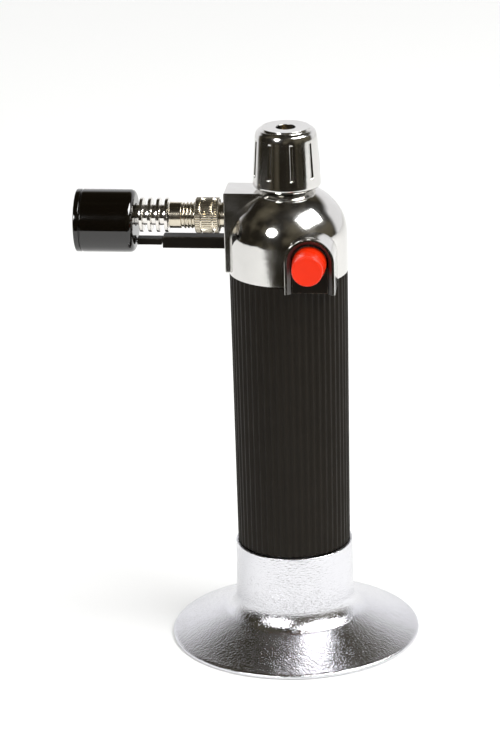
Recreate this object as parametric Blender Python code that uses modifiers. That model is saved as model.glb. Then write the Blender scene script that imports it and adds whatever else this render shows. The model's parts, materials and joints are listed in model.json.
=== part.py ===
"""Butane micro torch on a flared stand, modelled piece by piece.

Frame: +Z up, the floor at Z = 0, the flame leaves along -X, the igniter button faces -Y.
The origin is on the floor under the middle of the whole object, so the tank stands at
X = TANK_X. Lengths are metres; MM turns a millimetre value into metres.
"""

import math

import bmesh
import bpy
from mathutils import Matrix, Vector

MM = 0.001

# ---------------------------------------------------------------- driving dimensions
GAP = 0.3 * MM                  # running gap left between neighbouring pieces

STAND_RIM_R = 36.4 * MM
STAND_NECK_R = 17.1 * MM
STAND_NECK_FOOT_R = 17.3 * MM
STAND_TOP_Z = 29.0 * MM
STAND_FLARE_Z = 17.0 * MM
STAND_WALL = 0.8 * MM
STAND_RIM_Z = 1.0 * MM

NOZZLE_REACH = 60.5 * MM        # tank axis to the mouth of the flame shade
TANK_X = (NOZZLE_REACH - STAND_RIM_R) / 2

TANK_R = 15.0 * MM
TANK_WALL = 1.0 * MM
TANK_FOOT_Z = 10.0 * MM
TANK_TOP_Z = 107.2 * MM
GRIP_FOOT_R = 16.4 * MM
GRIP_TOP_R = 16.9 * MM
GRIP_TOP_Z = 111.5 * MM

HEAD_FOOT_Z = 111.8 * MM
HEAD_R = 17.0 * MM
HEAD_DOME_Z = 122.5 * MM        # where the straight skirt turns into the dome
HEAD_TOP_Z = 136.3 * MM
HEAD_DOME_RISE = 15.0 * MM      # vertical half axis of the dome's ellipse
HEAD_WALL = 1.4 * MM

BLOCK_REACH = 17.6 * MM
BLOCK_HALF_WIDTH = 5.8 * MM
BLOCK_FOOT_Z = 112.2 * MM
BLOCK_TOP_Z = 135.8 * MM

HOOD_X = 7.8 * MM               # hood and button sit beside the tank axis, away from the flame
HOOD_Z = 119.5 * MM
HOOD_R = 7.1 * MM
HOOD_WALL = 1.8 * MM
HOOD_FRONT = 18.7 * MM
HOOD_FOOT_Z = 110.2 * MM

BUTTON_Z = 119.2 * MM
BUTTON_R = 4.8 * MM
BUTTON_NOSE_R = 4.35 * MM       # the button narrows a little towards its face
BUTTON_FRONT = 25.2 * MM
BUTTON_BACK = 16.2 * MM

BURNER_Z = 127.65 * MM
THREAD_R = 3.8 * MM
FIN_R = 4.93 * MM
FIN_COUNT = 4
FIN_PITCH = 2.42 * MM
FIN_THICK = 0.96 * MM
FIRST_FIN = 33.9 * MM
COLLAR_R = 5.14 * MM
COLLAR_REAR = 19.4 * MM
COLLAR_FRONT = 26.1 * MM

SHADE_R = 9.0 * MM
SHADE_WALL = 0.8 * MM
SHADE_REAR = 43.5 * MM
SHADE_DROP = 1.85 * MM          # shade centre below the burner axis, to take in the electrode
LEAD_Z = 120.05 * MM

KNOB_FOOT_Z = 136.8 * MM
KNOB_TOP_Z = 154.0 * MM
KNOB_FOOT_R = 9.75 * MM
KNOB_TOP_R = 8.8 * MM
KNOB_FLUTES = 9
FIRST_FLUTE = math.radians(-75.0)
FLUTE_R = 0.7 * MM

SIDES_LARGE = 40
SIDES_MEDIUM = 24
SIDES_SMALL = 16
MERGE = 0.00001


# ---------------------------------------------------------------- scene and helpers
def clear_scene():
    for item in list(bpy.data.objects):
        bpy.data.objects.remove(item, do_unlink=True)


def new_collection(name):
    group = bpy.data.collections.new(name)
    bpy.context.scene.collection.children.link(group)
    return group


def make_finish(name, colour, metallic, roughness):
    finish = bpy.data.materials.new(name)
    finish.use_nodes = True
    shader = finish.node_tree.nodes["Principled BSDF"]
    shader.inputs["Base Color"].default_value = (*colour, 1.0)
    shader.inputs["Metallic"].default_value = metallic
    shader.inputs["Roughness"].default_value = roughness
    finish.diffuse_color = (*colour, 1.0)
    return finish


def make_axis(name, place, turn=(0.0, 0.0, 0.0)):
    """An empty whose local +Z is the axis that its pieces are turned on."""
    axis = bpy.data.objects.new(name, None)
    axis.location = place
    axis.rotation_euler = turn
    axis.empty_display_size = 0.005
    PARTS.objects.link(axis)
    return axis


def add_piece(name, mesh, axis, finish=None):
    piece = bpy.data.objects.new(name, mesh)
    piece.parent = axis
    if finish is None:
        CUTTERS.objects.link(piece)
        piece.hide_render = True
        piece.display_type = "WIRE"
        return piece
    PARTS.objects.link(piece)
    mesh.materials.append(finish)
    return piece


def turned(name, outline, axis, finish=None, sides=SIDES_MEDIUM, shift=(0.0, 0.0, 0.0)):
    """Turn an outline of (radius, height) points, listed down the outer side, about local Z.

    An outline that ends on the axis is closed by it; any other outline is closed as a ring.
    """
    shape = bmesh.new()
    points = [shape.verts.new((radius, 0.0, height)) for radius, height in outline]
    for first, second in zip(points, points[1:]):
        shape.edges.new((first, second))
    ends_on_axis = outline[0][0] == 0.0 and outline[-1][0] == 0.0
    if not ends_on_axis:
        shape.edges.new((points[-1], points[0]))
    mesh = bpy.data.meshes.new(name)
    shape.to_mesh(mesh)
    shape.free()
    piece = add_piece(name, mesh, axis, finish)
    piece.location = shift
    screw = piece.modifiers.new("turn", "SCREW")
    screw.steps = sides
    screw.render_steps = sides
    screw.use_merge_vertices = True
    screw.merge_threshold = MERGE
    screw.use_smooth_shade = True
    return piece


def boxed(name, low, high, axis, finish=None, bevel=0.0):
    """A box between two corners in the axis's own frame, with optional rounded edges."""
    low = Vector(low)
    high = Vector(high)
    shape = bmesh.new()
    size = Matrix.Diagonal((*(high - low), 1.0))
    place = Matrix.Translation((low + high) / 2)
    bmesh.ops.create_cube(shape, size=1.0, matrix=place @ size)
    mesh = bpy.data.meshes.new(name)
    shape.to_mesh(mesh)
    shape.free()
    piece = add_piece(name, mesh, axis, finish)
    if bevel:
        edge = piece.modifiers.new("edges", "BEVEL")
        edge.width = bevel
        edge.segments = 2
    return piece


def rod(name, radius, start, end, axis, finish=None, sides=SIDES_SMALL, shift=(0.0, 0.0, 0.0)):
    """A plain round bar along local Z."""
    outline = [(0.0, end), (radius, end), (radius, start), (0.0, start)]
    return turned(name, outline, axis, finish, sides, shift)


def ring(name, inner, outer, start, end, axis, finish=None, sides=SIDES_MEDIUM, shift=(0.0, 0.0, 0.0)):
    """A plain tube along local Z."""
    outline = [(outer, end), (outer, start), (inner, start), (inner, end)]
    return turned(name, outline, axis, finish, sides, shift)


def o_ring(name, major, minor, height, axis, finish):
    """A seal ring of round section."""
    count = 8
    angles = [-2 * math.pi * step / count for step in range(count)]
    outline = [(major + minor * math.cos(a), height + minor * math.sin(a)) for a in angles]
    return turned(name, outline, axis, finish, SIDES_SMALL)


def wire(name, points, radius, axis, finish):
    """A round wire through a list of points, as a poly curve with filled ends."""
    curve = bpy.data.curves.new(name, "CURVE")
    curve.dimensions = "3D"
    curve.bevel_depth = radius
    curve.bevel_resolution = 1
    curve.use_fill_caps = True
    line = curve.splines.new("POLY")
    line.points.add(len(points) - 1)
    for slot, point in zip(line.points, points):
        slot.co = (*point, 1.0)
    piece = bpy.data.objects.new(name, curve)
    piece.parent = axis
    PARTS.objects.link(piece)
    curve.materials.append(finish)
    return piece


def arc(centre, radii, start_deg, end_deg, count):
    """Points of an elliptical arc in the outline plane."""
    points = []
    for step in range(count + 1):
        angle = math.radians(start_deg + (end_deg - start_deg) * step / count)
        radius = centre[0] + radii[0] * math.cos(angle)
        height = centre[1] + radii[1] * math.sin(angle)
        points.append((radius, height))
    return points


def smooth_run(points, count):
    """A smooth (Catmull-Rom) curve read at even steps through the given points."""
    vectors = [Vector(point) for point in points]
    vectors = [2 * vectors[0] - vectors[1]] + vectors + [2 * vectors[-1] - vectors[-2]]
    run = []
    for index in range(1, len(vectors) - 2):
        a, b, c, d = vectors[index - 1:index + 3]
        for step in range(count):
            t = step / count
            bend = (2 * a - 5 * b + 4 * c - d) * t * t + (3 * b - a - 3 * c + d) * t * t * t
            run.append((2 * b + (c - a) * t + bend) / 2)
    run.append(vectors[-2])
    return run


def combine(piece, other, operation):
    """Cut or join with an exact Boolean."""
    step = piece.modifiers.new(other.name, "BOOLEAN")
    step.operation = operation
    step.object = other
    step.solver = "EXACT"


def cut(piece, other):
    combine(piece, other, "DIFFERENCE")


def join(piece, other):
    combine(piece, other, "UNION")


def hex_nut(name, bore, across, start, end, axis, finish):
    """A six-sided nut, sized to its corners, with a round bore."""
    nut = rod(name, across, start, end, axis, finish, sides=6)
    nut.modifiers["turn"].use_smooth_shade = False
    cut(nut, rod(name + "_bore", bore, start - 1 * MM, end + 1 * MM, axis))
    return nut


def arch_outline(radius, foot, centre_z, count):
    """A round-topped doorway outline: foot left, up, over the arch and down to foot right."""
    outline = [(radius, foot)]
    for step in range(count + 1):
        angle = math.pi * step / count
        outline.append((radius * math.cos(angle), centre_z + radius * math.sin(angle)))
    outline.append((-radius, foot))
    return outline


def arch_prism(name, radius, foot, centre_z, front, back, axis, finish=None, count=16):
    """An arch outline in local X-Z, extruded along local Y from front to back."""
    shape = bmesh.new()
    outline = arch_outline(radius, foot, centre_z, count)
    corners = [shape.verts.new((x, front, z)) for x, z in outline]
    face = shape.faces.new(corners)
    grown = bmesh.ops.extrude_face_region(shape, geom=[face])
    moved = [item for item in grown["geom"] if isinstance(item, bmesh.types.BMVert)]
    bmesh.ops.translate(shape, verts=moved, vec=(0.0, back - front, 0.0))
    bmesh.ops.recalc_face_normals(shape, faces=shape.faces)
    mesh = bpy.data.meshes.new(name)
    shape.to_mesh(mesh)
    shape.free()
    return add_piece(name, mesh, axis, finish)


# ---------------------------------------------------------------- the stand
def build_stand(axis):
    """A spun bell with a straight neck, a trumpet flare and a thin rim, and its liner."""
    flare_r = 10.0 * MM
    flare_h = STAND_FLARE_Z - 3.0 * MM
    centre = (STAND_NECK_FOOT_R + flare_r, STAND_FLARE_Z)
    outer = [(STAND_NECK_R, STAND_TOP_Z)]
    outer += arc(centre, (flare_r, flare_h), 180, 262, 7)
    outer += [(32.0 * MM, 1.9 * MM), (STAND_RIM_R - 0.4 * MM, STAND_RIM_Z + 0.15 * MM)]
    outer += [(STAND_RIM_R, STAND_RIM_Z - 0.3 * MM), (STAND_RIM_R, 0.0)]
    neck_inner = STAND_NECK_R - STAND_WALL
    inner_r = flare_r + STAND_WALL
    inner_h = flare_h + STAND_WALL
    inner = [(STAND_RIM_R - 1.5 * MM, 0.0), (31.5 * MM, 0.6 * MM)]
    inner += arc(centre, (inner_r, inner_h), 258, 180, 6)
    inner += [(neck_inner, STAND_TOP_Z)]
    turned("stand_bell", outer + inner, axis, CHROME_SATIN, SIDES_LARGE)

    liner_r = neck_inner - GAP
    lip_r = 12.5 * MM
    lip_top = TANK_FOOT_Z - GAP
    bore = TANK_R + GAP
    outline = [(liner_r, STAND_TOP_Z - GAP), (liner_r, lip_top - 1.7 * MM), (lip_r, lip_top - 1.7 * MM)]
    outline += [(lip_r, lip_top), (bore, lip_top), (bore, STAND_TOP_Z - GAP)]
    turned("stand_liner", outline, axis, PLASTIC_BLACK, SIDES_LARGE)


# ---------------------------------------------------------------- tank, grip and valves
def build_tank(axis):
    """The fuel tank, its top cap and the grip sleeve around it."""
    floor_top = TANK_FOOT_Z + 1.2 * MM
    inside = TANK_R - TANK_WALL
    refill_hole = 4.3 * MM
    outline = [(TANK_R, TANK_TOP_Z), (TANK_R, TANK_FOOT_Z), (refill_hole, TANK_FOOT_Z)]
    outline += [(refill_hole, floor_top), (inside, floor_top), (inside, TANK_TOP_Z)]
    turned("fuel_tank", outline, axis, ALUMINIUM, SIDES_LARGE)

    grip_foot = STAND_TOP_Z + GAP
    bore = TANK_R + GAP
    outline = [(GRIP_TOP_R, GRIP_TOP_Z), (GRIP_FOOT_R, grip_foot), (bore, grip_foot), (bore, GRIP_TOP_Z)]
    turned("grip_sleeve", outline, axis, RUBBER_BLACK, SIDES_LARGE)

    cap_top = TANK_TOP_Z + 3.8 * MM
    plug_foot = TANK_TOP_Z - 3.0 * MM
    plug_r = inside - GAP
    bore = 5.0 * MM
    outline = [(TANK_R, cap_top), (TANK_R, TANK_TOP_Z + GAP), (plug_r, TANK_TOP_Z + GAP)]
    outline += [(plug_r, plug_foot), (bore, plug_foot), (bore, cap_top)]
    cap = turned("tank_cap", outline, axis, ALUMINIUM)

    plate_foot = cap_top + GAP
    plate_top = plate_foot + 1.4 * MM
    plate = ring("head_plate", bore + GAP, TANK_R, plate_foot, plate_top, axis, STEEL_PLAIN)
    for side, label in ((-1, "left"), (1, "right")):
        place = (side * 9.0 * MM, 4.0 * MM, 0.0)
        head = [(0.0, plate_top + 1.5 * MM), (1.3 * MM, plate_top + 1.5 * MM)]
        head += [(1.7 * MM, plate_top + 1.1 * MM), (1.7 * MM, plate_top + GAP)]
        shank = [(0.8 * MM, plate_top + GAP), (0.8 * MM, TANK_TOP_Z), (0.0, TANK_TOP_Z)]
        turned("head_screw_" + label, head + shank, axis, STEEL_PLAIN, SIDES_SMALL, place)
        hole = rod("screw_hole_" + label, 1.1 * MM, TANK_TOP_Z - GAP, plate_top + 1 * MM, axis, shift=place)
        cut(cap, hole)
        cut(plate, hole)


def build_refill_valve(axis):
    """The filling valve in the tank's floor: body, seal, sprung stem, spring and cap."""
    flange_foot = 7.6 * MM
    flange_top = 8.8 * MM
    seat = 10.5 * MM
    top = 15.0 * MM
    outer = 4.0 * MM
    well = 3.0 * MM
    stem_hole = 1.3 * MM
    outline = [(outer, top), (outer, flange_top), (6.0 * MM, flange_top), (6.0 * MM, flange_foot)]
    outline += [(stem_hole, flange_foot), (stem_hole, seat), (well, seat), (well, top)]
    turned("refill_valve_body", outline, axis, BRASS, SIDES_SMALL)

    o_ring("refill_valve_seal", 5.1 * MM, 0.3 * MM, 9.4 * MM, axis, RUBBER_BLACK)

    stem_r = 1.0 * MM
    collar_r = 2.4 * MM
    outline = [(0.0, 15.4 * MM), (stem_r, 15.4 * MM), (stem_r, 11.6 * MM), (collar_r, 11.6 * MM)]
    outline += [(collar_r, 10.8 * MM), (stem_r, 10.8 * MM), (stem_r, 6.4 * MM), (0.0, 6.4 * MM)]
    turned("refill_valve_stem", outline, axis, BRASS, SIDES_SMALL)

    turns = 4
    steps = 8
    foot = 12.15 * MM
    rise = 2.5 * MM
    points = []
    for step in range(turns * steps + 1):
        angle = 2 * math.pi * step / steps
        height = foot + rise * step / (turns * steps)
        points.append((1.9 * MM * math.cos(angle), 1.9 * MM * math.sin(angle), height))
    wire("refill_valve_spring", points, 0.2 * MM, axis, STEEL_PLAIN)

    ring("refill_valve_cap", 1.4 * MM, outer, top + GAP, 16.3 * MM, axis, BRASS, SIDES_SMALL)


def build_gas_valve(axis):
    """The control valve in the tank cap, with its pick-up tube, needle and seals."""
    foot = 101.2 * MM
    top = 130.2 * MM
    neck = 3.8 * MM
    in_cap = 4.7 * MM
    bore = 2.6 * MM
    seat = 104.4 * MM
    drilling = 0.6 * MM
    shoulder = TANK_TOP_Z + 5.0 * MM
    outline = [(neck, top), (neck, shoulder), (in_cap, shoulder), (in_cap, foot)]
    outline += [(drilling, foot), (drilling, seat - 1.0 * MM), (bore, seat), (bore, top)]
    turned("valve_body", outline, axis, BRASS, SIDES_SMALL)

    ring("pickup_tube", 0.6 * MM, 1.1 * MM, 20.0 * MM, foot - GAP, axis, PLASTIC_WHITE, SIDES_SMALL)
    filter_top = 20.0 * MM - GAP
    outline = [(0.0, filter_top), (2.0 * MM, filter_top), (2.4 * MM, filter_top - 0.5 * MM)]
    outline += [(2.4 * MM, 18.0 * MM), (1.9 * MM, 17.5 * MM), (0.0, 17.5 * MM)]
    turned("pickup_filter", outline, axis, BRASS, SIDES_SMALL)

    needle_r = 1.4 * MM
    outline = [(0.0, 120.4 * MM), (needle_r, 120.4 * MM), (needle_r, 107.2 * MM), (0.0, 105.1 * MM)]
    turned("valve_needle", outline, axis, STEEL_PLAIN, SIDES_SMALL)

    o_ring("needle_seal", 2.0 * MM, 0.28 * MM, 114.2 * MM, axis, RUBBER_BLACK)

    nut_foot = top + GAP
    nut_top = nut_foot + 3.2 * MM
    hex_nut("valve_gland_nut", 2.2 * MM, 4.6 * MM, nut_foot, nut_top, axis, BRASS)


def build_gas_knob(axis):
    """The fluted knob, the screw in its top and the spindle that it turns. Heights are world Z."""
    web_foot = 145.3 * MM
    recess_foot = 148.0 * MM
    recess_r = 2.8 * MM
    outline = [(recess_r, KNOB_TOP_Z - 0.2 * MM), (7.1 * MM, KNOB_TOP_Z)]
    outline += [(7.6 * MM, KNOB_TOP_Z - 0.25 * MM), (KNOB_TOP_R - 0.25 * MM, KNOB_TOP_Z - 2.0 * MM)]
    outline += [(KNOB_TOP_R, KNOB_TOP_Z - 2.5 * MM), (KNOB_FOOT_R, KNOB_FOOT_Z + 0.5 * MM)]
    outline += [(KNOB_FOOT_R - 0.4 * MM, KNOB_FOOT_Z), (2.2 * MM, KNOB_FOOT_Z), (2.2 * MM, web_foot)]
    outline += [(1.2 * MM, web_foot), (1.2 * MM, recess_foot), (recess_r, recess_foot)]
    knob = turned("gas_knob", outline, axis, CHROME, SIDES_LARGE)

    flute_foot = KNOB_FOOT_Z + 3.2 * MM
    flute_top = KNOB_TOP_Z - 2.9 * MM
    for step in range(KNOB_FLUTES):
        angle = FIRST_FLUTE + 2 * math.pi * step / KNOB_FLUTES
        reach = (KNOB_FOOT_R + KNOB_TOP_R) / 2 + 0.25 * MM
        outline = arc((0.0, flute_top - FLUTE_R), (FLUTE_R, FLUTE_R), 90, 0, 2)
        outline += arc((0.0, flute_foot + FLUTE_R), (FLUTE_R, FLUTE_R), 0, -90, 2)
        outline = [(0.0, outline[0][1])] + outline[1:-1] + [(0.0, outline[-1][1])]
        place = (reach * math.cos(angle), reach * math.sin(angle), 0.0)
        cutter = turned("flute_%d" % step, outline, axis, None, 8, place)
        cut(knob, cutter)

    head_foot = recess_foot + GAP
    outline = [(0.0, head_foot + 1.8 * MM), (2.0 * MM, head_foot + 1.8 * MM)]
    outline += [(2.45 * MM, head_foot + 1.4 * MM), (2.45 * MM, head_foot), (0.9 * MM, head_foot)]
    outline += [(0.9 * MM, 139.5 * MM), (0.0, 139.5 * MM)]
    screw = turned("knob_screw", outline, axis, BRASS, SIDES_SMALL)
    slot_half = 0.3 * MM
    slot_foot = head_foot + 1.0 * MM
    slot_top = head_foot + 3.0 * MM
    reach = 3.0 * MM
    slot = boxed("screw_slot", (-reach, -slot_half, slot_foot), (reach, slot_half, slot_top), axis)
    cut(screw, slot)

    spindle_r = 1.9 * MM
    spindle_top = web_foot - GAP
    outline = [(spindle_r, spindle_top), (spindle_r, 121.2 * MM), (0.0, 121.2 * MM)]
    outline = [(0.0, 138.8 * MM), (1.2 * MM, 138.8 * MM), (1.2 * MM, spindle_top)] + outline
    turned("regulator_spindle", outline, axis, BRASS, SIDES_SMALL)


# ---------------------------------------------------------------- the head
def dome_outline(radius, foot, dome_z, rise, top, count):
    """A straight skirt, an elliptical dome and a flat top, down the outer side."""
    top_angle = math.degrees(math.asin((top - dome_z) / rise))
    outline = [(0.0, top)]
    outline += arc((0.0, dome_z), (radius, rise), top_angle, 0, count)
    outline += [(radius, foot), (0.0, foot)]
    return outline


def build_head(axis):
    """The plated head: a domed shell with a square burner block and a hood over the button."""
    outline = dome_outline(HEAD_R, HEAD_FOOT_Z, HEAD_DOME_Z, HEAD_DOME_RISE, HEAD_TOP_Z, 8)
    head = turned("head_shell", outline, axis, CHROME, SIDES_LARGE)

    low = (-BLOCK_REACH, -BLOCK_HALF_WIDTH, BLOCK_FOOT_Z)
    high = (-1.0 * MM, BLOCK_HALF_WIDTH, BLOCK_TOP_Z)
    join(head, boxed("block_outside", low, high, axis, bevel=0.5 * MM))

    hood_axis = make_axis("hood_axis", (HOOD_X, 0.0, 0.0))
    hood_axis.parent = axis
    back = -4.0 * MM
    join(head, arch_prism("hood_outside", HOOD_R, HOOD_FOOT_Z, HOOD_Z, -HOOD_FRONT, back, hood_axis))

    clear_r = GRIP_TOP_R + GAP
    cut(head, rod("grip_room", clear_r, HOOD_FOOT_Z - 3 * MM, HEAD_FOOT_Z, axis, sides=SIDES_LARGE))

    inside = HEAD_R - HEAD_WALL
    foot = HEAD_FOOT_Z - 3.1 * MM
    ceiling = HEAD_TOP_Z - HEAD_WALL
    outline = dome_outline(inside, foot, HEAD_DOME_Z, HEAD_DOME_RISE - HEAD_WALL, ceiling, 8)
    cut(head, turned("dome_room", outline, axis, None, SIDES_LARGE))

    low = (-BLOCK_REACH + HEAD_WALL, -BLOCK_HALF_WIDTH + HEAD_WALL, BLOCK_FOOT_Z - 4 * MM)
    high = (-0.5 * MM, BLOCK_HALF_WIDTH - HEAD_WALL, BLOCK_TOP_Z - HEAD_WALL - 0.35 * MM)
    cut(head, boxed("block_room", low, high, axis))

    room = HOOD_R - HOOD_WALL
    front = -HOOD_FRONT - 5 * MM
    cut(head, arch_prism("hood_room", room, HOOD_FOOT_Z - 5 * MM, HOOD_Z, front, -2 * MM, hood_axis))

    cut(head, rod("spindle_hole", 2.3 * MM, HEAD_TOP_Z - 4 * MM, HEAD_TOP_Z + 4 * MM, axis))

    burner = make_axis("burner_hole_axis", (0.0, 0.0, BURNER_Z), (0.0, -math.pi / 2, 0.0))
    burner.parent = axis
    tube_r = THREAD_R + GAP
    cut(head, rod("burner_hole", tube_r, BLOCK_REACH - 4 * MM, BLOCK_REACH + 3 * MM, burner))

    low = (-BLOCK_REACH - 2 * MM, -1.6 * MM, LEAD_Z - 1.2 * MM)
    high = (-BLOCK_REACH + 4 * MM, 1.6 * MM, LEAD_Z + 1.2 * MM)
    cut(head, boxed("lead_hole", low, high, axis))


# ---------------------------------------------------------------- the igniter
def build_igniter(axis):
    """Housing, piezo unit, button and spring, on an axis whose local +Z points out at -Y."""
    drop = HOOD_Z - BUTTON_Z
    front = 17.8 * MM
    back = 8.0 * MM
    slab = 12.4 * MM
    fit = HOOD_R - HOOD_WALL - GAP
    turn_axis = make_axis("housing_axis", (0.0, 0.0, 0.0), (-math.pi / 2, 0.0, 0.0))
    turn_axis.parent = axis
    foot = HOOD_FOOT_Z + GAP - BUTTON_Z
    housing = arch_prism("igniter_housing", fit, foot, drop, -front, -back, turn_axis, PLASTIC_BLACK)
    cut(housing, rod("button_bore", BUTTON_R + GAP, slab, front + 4 * MM, axis, sides=SIDES_MEDIUM))
    plunger_r = 1.6 * MM
    cut(housing, rod("plunger_bore", plunger_r + GAP, back - 2 * MM, slab + 2 * MM, axis))
    grip_room = make_axis("grip_room_axis", (0.0, -BUTTON_Z, 0.0), (-math.pi / 2, 0.0, 0.0))
    grip_room.parent = axis
    wide = GRIP_TOP_R + GAP
    narrow = TANK_R + GAP
    low_z = HOOD_FOOT_Z - 3 * MM
    plate_room = TANK_TOP_Z + 5.8 * MM
    outline = [(0.0, plate_room), (narrow, plate_room), (narrow, HEAD_FOOT_Z), (wide, HEAD_FOOT_Z)]
    outline += [(wide, low_z), (0.0, low_z)]
    shift = (-HOOD_X, 0.0, 0.0)
    cut(housing, turned("housing_grip_room", outline, grip_room, None, SIDES_LARGE, shift))

    piezo_r = 2.7 * MM
    piezo_front = back - GAP
    bore = plunger_r + GAP
    bore_end = -1.0 * MM
    piezo_back = -9.0 * MM
    outline = [(bore, piezo_front), (piezo_r, piezo_front), (piezo_r, piezo_back), (0.0, piezo_back)]
    outline = [(0.0, bore_end), (bore, bore_end)] + outline
    turned("piezo_body", outline, axis, PLASTIC_WHITE, SIDES_SMALL)

    edge = 0.55 * MM
    outline = [(0.0, BUTTON_FRONT)]
    outline += arc((BUTTON_NOSE_R - edge, BUTTON_FRONT - edge), (edge, edge), 90, 0, 3)
    outline += [(BUTTON_R, HOOD_FRONT), (BUTTON_R, BUTTON_BACK), (0.0, BUTTON_BACK)]
    turned("igniter_button", outline, axis, PLASTIC_RED)

    rod("piezo_plunger", plunger_r, 2.5 * MM, BUTTON_BACK - GAP, axis, STEEL_PLAIN)

    turns = 3
    steps = 8
    coil_r = 2.7 * MM
    coil_foot = slab + 0.5 * MM
    rise = BUTTON_BACK - coil_foot - 0.6 * MM
    points = []
    for step in range(turns * steps + 1):
        angle = 2 * math.pi * step / steps
        height = coil_foot + rise * step / (turns * steps)
        points.append((coil_r * math.cos(angle), coil_r * math.sin(angle), height))
    wire("button_spring", points, 0.22 * MM, axis, STEEL_PLAIN)


def build_lead(axis):
    """The high-voltage lead in the head, its guard under the burner, and the electrode."""
    guard_foot = LEAD_Z - 1.7 * MM
    guard_top = LEAD_Z + 1.7 * MM
    guard_end = -35.8 * MM
    half = 2.2 * MM
    low = (guard_end, -half, guard_foot)
    high = (-BLOCK_REACH - GAP, half, guard_top)
    guard = boxed("lead_guard", low, high, axis, PLASTIC_BLACK, bevel=0.25 * MM)
    bore_reach = -BLOCK_REACH + 2 * MM
    low = (guard_end - 2 * MM, -0.9 * MM, LEAD_Z - 0.9 * MM)
    cut(guard, boxed("guard_bore", low, (bore_reach, 0.9 * MM, LEAD_Z + 0.9 * MM), axis))

    low = (-SHADE_REAR + GAP, -1.6 * MM, LEAD_Z - 0.95 * MM)
    high = (guard_end - GAP, 1.6 * MM, LEAD_Z + 0.95 * MM)
    arm = boxed("electrode_arm", low, high, axis, PLASTIC_BLACK, bevel=0.2 * MM)
    low = (-SHADE_REAR - 2 * MM, -0.6 * MM, LEAD_Z - 0.6 * MM)
    cut(arm, boxed("arm_bore", low, (guard_end + 2 * MM, 0.6 * MM, LEAD_Z + 0.6 * MM), axis))

    reach = -guard_end + 0.5 * MM
    points = [(-reach, 0.0, LEAD_Z), (-46.5 * MM, 0.0, LEAD_Z), (-48.8 * MM, 0.0, LEAD_Z + 0.5 * MM)]
    points += [(-50.3 * MM, 0.0, LEAD_Z + 2.0 * MM), (-50.9 * MM, 0.0, LEAD_Z + 3.4 * MM)]
    wire("electrode_rod", smooth_run(points, 3), 0.3 * MM, axis, STEEL_PLAIN)

    start = (HOOD_X, 9.7 * MM, BUTTON_Z)
    points = [start, (HOOD_X - 1 * MM, 11.2 * MM, BUTTON_Z), (2.0 * MM, 11.4 * MM, BUTTON_Z)]
    points += [(-5.0 * MM, 8.0 * MM, BUTTON_Z), (-9.0 * MM, 3.0 * MM, BUTTON_Z + 1.0 * MM)]
    points += [(-13.0 * MM, 0.4 * MM, LEAD_Z - 0.4 * MM), (-17.0 * MM, 0.0, LEAD_Z), (-21 * MM, 0.0, LEAD_Z)]
    points += [(guard_end + 0.5 * MM, 0.0, LEAD_Z)]
    wire("igniter_lead", smooth_run(points, 4), 0.5 * MM, axis, RUBBER_BLACK)


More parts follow.
